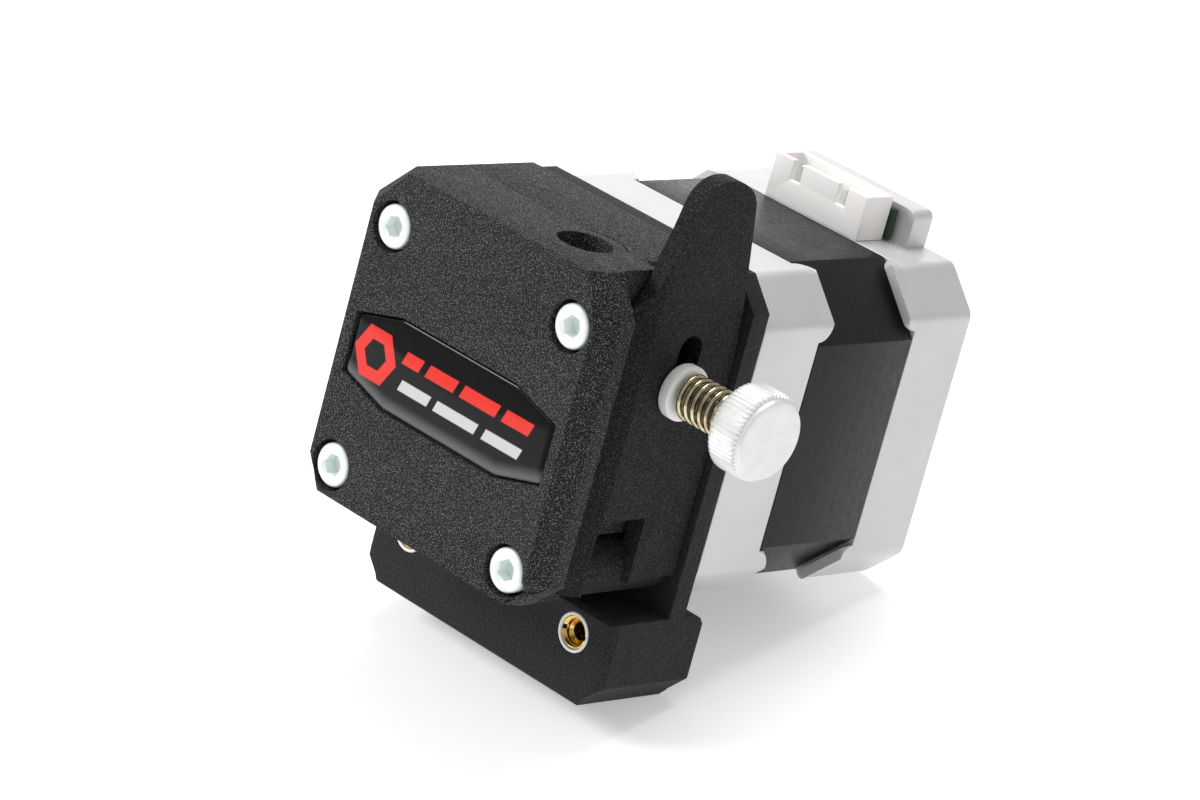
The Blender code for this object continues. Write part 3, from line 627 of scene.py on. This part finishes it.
lever = prism("lever_body", eased(PROFILE, 3, 12), "x", 17.8, 20.3)
cut(
    lever,
    prism("tool", [(17.2, 5.34), (21.3, 10.98), (21.3, 5.0)], "z", -40, 50),
    box("tool", (15, 9.4, -30), (25, 16.9, -8.0)),
)
join(
    lever,
    rod("y", PIVOT, 3.9, 9.5, 24.8),
    box("tool", (16.95, 2.25, 6.5), (17.9, 12.3, 11.7)),
    box("tool", (17.0, 6.4, 6.5), (18.4, 12.3, 11.7)),
    prism("tool", [(9.3, 8.0), (10.7, 6.5), (17.5, 6.5), (17.5, 11.7), (10.7, 11.7), (9.3, 10.4)], "y", 2.25, 3.7),
    prism("tool", [(9.3, 8.0), (10.7, 6.5), (18.0, 6.5), (18.0, 11.7), (10.7, 11.7), (9.3, 10.4)], "y", 9.2, 12.3),
)
arc = [math.pi * i / 20 for i in range(21)]
slot = [(16.6 + 1.95 * math.cos(a), 13.5 + 1.95 * math.sin(a)) for a in arc] + [(16.6 + 1.95 * math.cos(a), 7.9 - 1.95 * math.sin(math.pi - a) * 1.0) for a in [math.pi - b for b in arc]]
cut(
    lever,
    prism("tool", slot, "x", 10, 30),
    rod("y", PIVOT, 1.6, -5, 40, 32),
    rod("y", IDLER_AXIS, 1.56, -5, 20, 32),
)
bevel(lever, 0.4, 4)
finish_piece(lever, NYLON_LEVER, "lever", "idler_lever", slot="black_nylon")

# ------------------------------------------------------------------ tension screw stack
bush = turned("bushing_body", "x", THUMB, [(1.7, 20.42), (3.25, 20.42), (3.42, 20.52), (3.5, 20.7), (3.5, 21.75), (3.44, 21.9), (3.3, 21.98), (2.0, 21.98), (1.7, 21.8)], 72)
finish_piece(smooth(bush), WHITE, "bushing", "spring_bushing", slot="white_nylon")

washer = turned("washer_body", "x", THUMB, [(1.7, 30.02), (3.1, 30.02), (3.2, 30.1), (3.2, 30.32), (3.1, 30.4), (1.7, 30.4)], 56)
finish_piece(smooth(washer), STEEL, "spring_seat", "spring_seat_washer", slot="steel")


def coil(name, t0, t1):
    """Part of the spring between two shares of its length, wound at an even pitch."""
    turns, r, w, start, end = 6.25, 2.55, 0.4, 22.06, 29.94
    rings, n, sides = [], int(56 * turns * (t1 - t0)), 14
    for i in range(n + 1):
        t = t0 + (t1 - t0) * i / n
        a = 2 * math.pi * turns * t
        x = start + w + (end - start - 2 * w) * t
        radial = Vector((0.0, math.cos(a), math.sin(a)))
        tangent = Vector((0.0, -math.sin(a), math.cos(a))) * (2 * math.pi * turns * r) + Vector((end - start - 2 * w, 0.0, 0.0))
        tangent.normalize()
        side = tangent.cross(radial).normalized()
        c = Vector((x, *THUMB)) + r * radial
        rings.append([tuple(c + w * (math.cos(b) * radial + math.sin(b) * side)) for b in [2 * math.pi * k / sides for k in range(sides)]])
    return smooth(loft(name, rings), 50)


MIDDLE = 0.55
left_coil = coil("spring_lower", 0.0, MIDDLE)
right_coil = coil("spring_upper", MIDDLE, 1.0)
for obj, slot_name in ((left_coil, "spring_steel"), (right_coil, "spring_steel")):
    obj.data.materials.append(SPRING)
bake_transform(left_coil)
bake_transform(right_coil)
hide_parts("tension_spring")
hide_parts("tension_spring")

# Thumb screw: straight-knurled knob with a plain face disc.
ribs, steps_per_rib = 54, 6
def knurl(x, crest, root):
    points = []
    for i in range(ribs * steps_per_rib):
        a = 2 * math.pi * i / (ribs * steps_per_rib)
        share = 0.5 + 0.5 * math.cos(a * ribs)
        r = root + (crest - root) * share**0.7
        points.append((x, THUMB[0] + r * math.cos(a), THUMB[1] + r * math.sin(a)))
    return points


knob = loft("knob_body", [
    knurl(30.52, 4.55, 4.55), knurl(30.56, 4.95, 4.9), knurl(30.75, 5.28, 5.12), knurl(31.05, 5.52, 5.26), knurl(31.35, 5.60, 5.28),
    knurl(34.55, 5.60, 5.28), knurl(34.9, 5.50, 5.26), knurl(35.12, 5.28, 5.18), knurl(35.2, 5.10, 5.10), knurl(35.28, 5.06, 5.06),
    knurl(35.55, 5.02, 5.02), knurl(35.72, 4.90, 4.90), knurl(35.79, 4.70, 4.70), knurl(35.76, 3.6, 3.6), knurl(35.75, 1.2, 1.2),
])
smooth(knob, 28)
finish_piece(knob, KNOB, "thumb_screw", "thumb_screw", slot="bright_knob")
thread = []
for i in range(int((30.6 - 9.6) / 0.125)):
    x = 9.6 + 0.125 * i
    thread.append((1.5 if i % 4 < 2 else 1.29, x))
shank = stacked("thumb_thread", "x", THUMB, thread, 40)
finish_piece(smooth(shank, 30), STEEL, "thumb_screw", slot="steel")

# ------------------------------------------------------------------ motor
C = HALF - 5.0
OUTLINE = [(-C, HALF), (C, HALF), (HALF, C), (HALF, -C), (C, -HALF), (-C, -HALF), (-HALF, -C), (-HALF, C)]


def ear(name, sx, sz, start, tip, inner):
    """A cap's corner that reaches along the motor over the stator's cut corner, with a lobed end."""
    way, out = (1 if tip > start else -1), HALF - 0.015
    wide = min(7.3, 2 * out - inner - 0.03)
    steps, rings, r = [(start, wide)], [], 1.8
    for k in range(7):
        a = math.pi / 2 * k / 6
        steps.append((tip - way * r * (1 - math.sin(a)), wide - (wide - 5.1) * (1 - math.cos(a))))
    for y, w in steps:
        t = min(0.8, 0.85 * (w - (out - C)))
        bend = [(out - 0.7071 * t * s * s, C - t * (1 - s) ** 2 + 0.7071 * t * s * s) for s in (0.0, 0.25, 0.5, 0.75, 1.0)]
        side = [((inner + w) / 2, (inner - w) / 2), (out, out - w)] + bend
        rings.append([(sx * u, y, sz * v) for u, v in side + [(v, u) for u, v in reversed(side)]])
    return finish_piece(loft(name, rings), CAST, "housing", slot="cast_aluminium")


front_cap = prism("front_cap_body", rounded(OUTLINE, 1.95, 4), "y", 28.2, 38.7)
join(front_cap, rod("y", MOTOR_AXIS, 11.0, 26.2, 29))
cut(front_cap, rod("y", MOTOR_AXIS, 17.0, 33.9, 50), rod("y", MOTOR_AXIS, 8.06, 28.9, 40), rod("y", MOTOR_AXIS, 3.6, 20, 40, 40))
for x, z in CORNERS.values():
    cut(front_cap, rod("y", (x, z), 1.6, 20, 32.4, 32), rod("y", (x, z), 1.6, 33.3, 50, 32))
bevel(front_cap, 0.5, 4)
finish_piece(front_cap, CAST, "housing", "motor_front_cap", slot="cast_aluminium")

K = HALF - 7.8
STATOR_OUTLINE = [(-K, HALF), (K, HALF), (HALF, K), (HALF, -K), (K, -HALF), (-K, -HALF), (-HALF, -K), (-HALF, K)]
stator = prism("stator_body", STATOR_OUTLINE, "y", 38.8, 56.3)
cut(stator, rod("y", MOTOR_AXIS, 13.1, 30, 60))
for x, z in CORNERS.values():
    cut(stator, rod("y", (x, z), 1.65, 30, 60, 32))
bevel(stator, 0.12, 2)
finish_piece(stator, LAMINATE, "housing", "motor_stator", slot="black_laminations")

rear_cap = prism("rear_cap_body", rounded(OUTLINE, 1.95, 4), "y", 56.4, 66.6)
join(rear_cap, prism("tool", rounded([(-10.5, 20.5), (11.5, 20.5), (11.5, 26.0), (-10.5, 26.0)], 1.2, 6), "y", 62.6, 66.2))
cut(rear_cap, rod("y", MOTOR_AXIS, 17.0, 40, 60.7), rod("y", MOTOR_AXIS, 8.06, 40, 65.0), rod("y", MOTOR_AXIS, 3.0, 40, 70, 40), box("tool", (-6.5, 57.4, 14.0), (7.5, 60.5, 30.0)))
for x, z in CORNERS.values():
    cut(rear_cap, rod("y", (x, z), 1.65, 40, 70, 32), rod("y", (x, z), 3.0, 63.4, 70, 48))
bevel(rear_cap, 0.5, 4)
finish_piece(rear_cap, CAST, "housing", "motor_rear_cap", slot="cast_aluminium")

for key, (x, z) in CORNERS.items():
    ear("front_ear_" + key, math.copysign(1, x), math.copysign(1, z), 37.4, 40.6, 34.75)
    ear("rear_ear_" + key, math.copysign(1, x), math.copysign(1, z), 57.7, 54.8, 35.5)

# ------------------------------------------------------------------ connector
shroud = box("shroud_body", (-7.5, 56.3, 21.17), (8.5, 61.3, 27.0))
cut(
    shroud,
    box("tool", (-6.6, 57.1, 22.6), (7.6, 60.5, 30.0)),
    box("tool", (-4.2, 55.0, 24.4), (-2.6, 58.0, 30.0)),
    box("tool", (3.6, 55.0, 24.4), (5.2, 58.0, 30.0)),
)
PIN_X = (-4.5, -2.5, -0.5, 1.5, 3.5, 5.5)
for x in PIN_X:
    cut(shroud, box("tool", (x - 0.35, 58.45, 20.0), (x + 0.35, 59.15, 25.0)))
bevel(shroud, 0.15, 3)
finish_piece(shroud, SHROUD, "housing", "connector_shroud", slot="connector_nylon")
for i, x in enumerate(PIN_X):
    pin = loft("pin_%d" % (i + 1), [[(x + sx * w, 58.8 + sy * w, z) for sx, sy in ((-1, -1), (1, -1), (1, 1), (-1, 1))] for z, w in ((18.5, 0.12), (18.9, 0.25), (25.8, 0.25), (26.15, 0.1))])
    finish_piece(bevel(pin, 0.04, 2), TIN, "housing", "connector_pin_%d" % (i + 1), slot="tinned_pin")
board = box("board_body", (-8.2, 61.5, 21.4), (9.1, 62.2, 25.4))
finish_piece(bevel(board, 0.08, 2), BOARD, "housing", "motor_pcb", slot="circuit_board")

# ------------------------------------------------------------------ inner pieces keep their CAD shape
for name, mat in {
    "captive_nut": ZINC, "drive_bearing_front": STEEL, "drive_bearing_rear": STEEL, "drive_gear": HARD, "drive_gear_set_screw": ZINC,
    "drive_shaft": STEEL, "idler_axle": STEEL, "idler_bearing_front": STEEL, "idler_bearing_rear": STEEL, "idler_gear": HARD,
    "large_gear": WHITE, "motor_front_bearing": STEEL, "motor_rear_bearing": STEEL, "motor_pinion": HARD, "motor_rotor": HARD,
    "motor_shaft": STEEL, "winding_front": COPPER, "winding_rear": COPPER,
}.items():
    nodes[name].data.materials.clear()
    nodes[name].data.materials.append(mat)


# ------------------------------------------------------------------ stage
scene = bpy.context.scene
world = bpy.data.worlds.new("studio")
scene.world = world
world.use_nodes = True
background = world.node_tree.nodes["Background"]
background.inputs[0].default_value = (1.0, 1.0, 1.0, 1.0)
background.inputs[1].default_value = 0.42

# Pale paper: the object leans back on its foot and the motor's rear edge, so the sheet
# follows that slope under it and runs level behind it.
SLOPE = 12.45 / 34.8
profile = [(-1400.0, -33.65 - 1431.8 * SLOPE), (16.0, -33.65 - 15.8 * SLOPE), (31.8, -33.65), (62.0, -33.65 + 30.2 * SLOPE)]
profile += [(62.0 + 40.0 * t, -33.65 + 30.2 * SLOPE + 40.0 * SLOPE * (t - 0.5 * t * t)) for t in [k / 10 for k in range(1, 11)]]
profile.append((2200.0, profile[-1][1]))
floor_mesh = bpy.data.meshes.new("floor")
corners = [tuple(to_frame((x, y, z))) for y, z in profile for x in (-2200.0, 2200.0)]
floor_mesh.from_pydata(corners, [], [(2 * i, 2 * i + 1, 2 * i + 3, 2 * i + 2) for i in range(len(profile) - 1)])
floor_mesh.shade_smooth()
floor = bpy.data.objects.new("floor", floor_mesh)
scene.collection.objects.link(floor)
paper = bpy.data.materials.new("paper")
paper.use_nodes = True
paper.node_tree.nodes["Principled BSDF"].inputs["Base Color"].default_value = (0.93, 0.93, 0.93, 1)
paper.node_tree.nodes["Principled BSDF"].inputs["Emission Color"].default_value = (1, 1, 1, 1)
paper.node_tree.nodes["Principled BSDF"].inputs["Emission Strength"].default_value = 0.36
paper.node_tree.nodes["Principled BSDF"].inputs["Roughness"].default_value = 0.7
paper.node_tree.nodes["Principled BSDF"].inputs["Specular IOR Level"].default_value = 0.2
floor_mesh.materials.append(paper)


def area(name, at, size, power, aim=(0, 20, 0)):
    light = bpy.data.lights.new(name, "AREA")
    light.shape = "DISK"
    light.size = size
    light.energy = power
    obj = bpy.data.objects.new(name, light)
    obj.location = to_frame(at)
    direction = to_frame(aim) - obj.location
    obj.rotation_euler = direction.to_track_quat("-Z", "Y").to_euler()
    scene.collection.objects.link(obj)
    return obj


area("top", (-150, 200, 1500), 0.9, 12.5)
area("key", (-620, -720, 420), 0.40, 6.5)
area("side", (900, -250, 420), 0.50, 0.3)
area("back", (-860, 1000, 440), 0.60, 1.9)

# The camera stands where the photograph's stood, with its roll.
camera_data = bpy.data.cameras.new("camera")
camera_data.sensor_width = 36.0
camera_data.lens = 5450.17 / 1200 * 36.0
camera_data.clip_start = 0.01
camera_data.clip_end = 20
camera = bpy.data.objects.new("camera", camera_data)
right = Vector((0.68501, 0.68404, 0.25070)).normalized()
up = Vector((-0.39183, 0.05580, 0.91835))
up = (up - right * up.dot(right)).normalized()
back = right.cross(up)
from mathutils import Matrix

rotation = Matrix((right, up, back)).transposed().to_4x4()
camera.matrix_world = Matrix.Translation(to_frame((407.84, -455.79, 201.37))) @ rotation
scene.collection.objects.link(camera)
scene.camera = camera

scene.view_settings.view_transform = "Standard"
scene.view_settings.look = "None"
scene.view_settings.exposure = 0.0
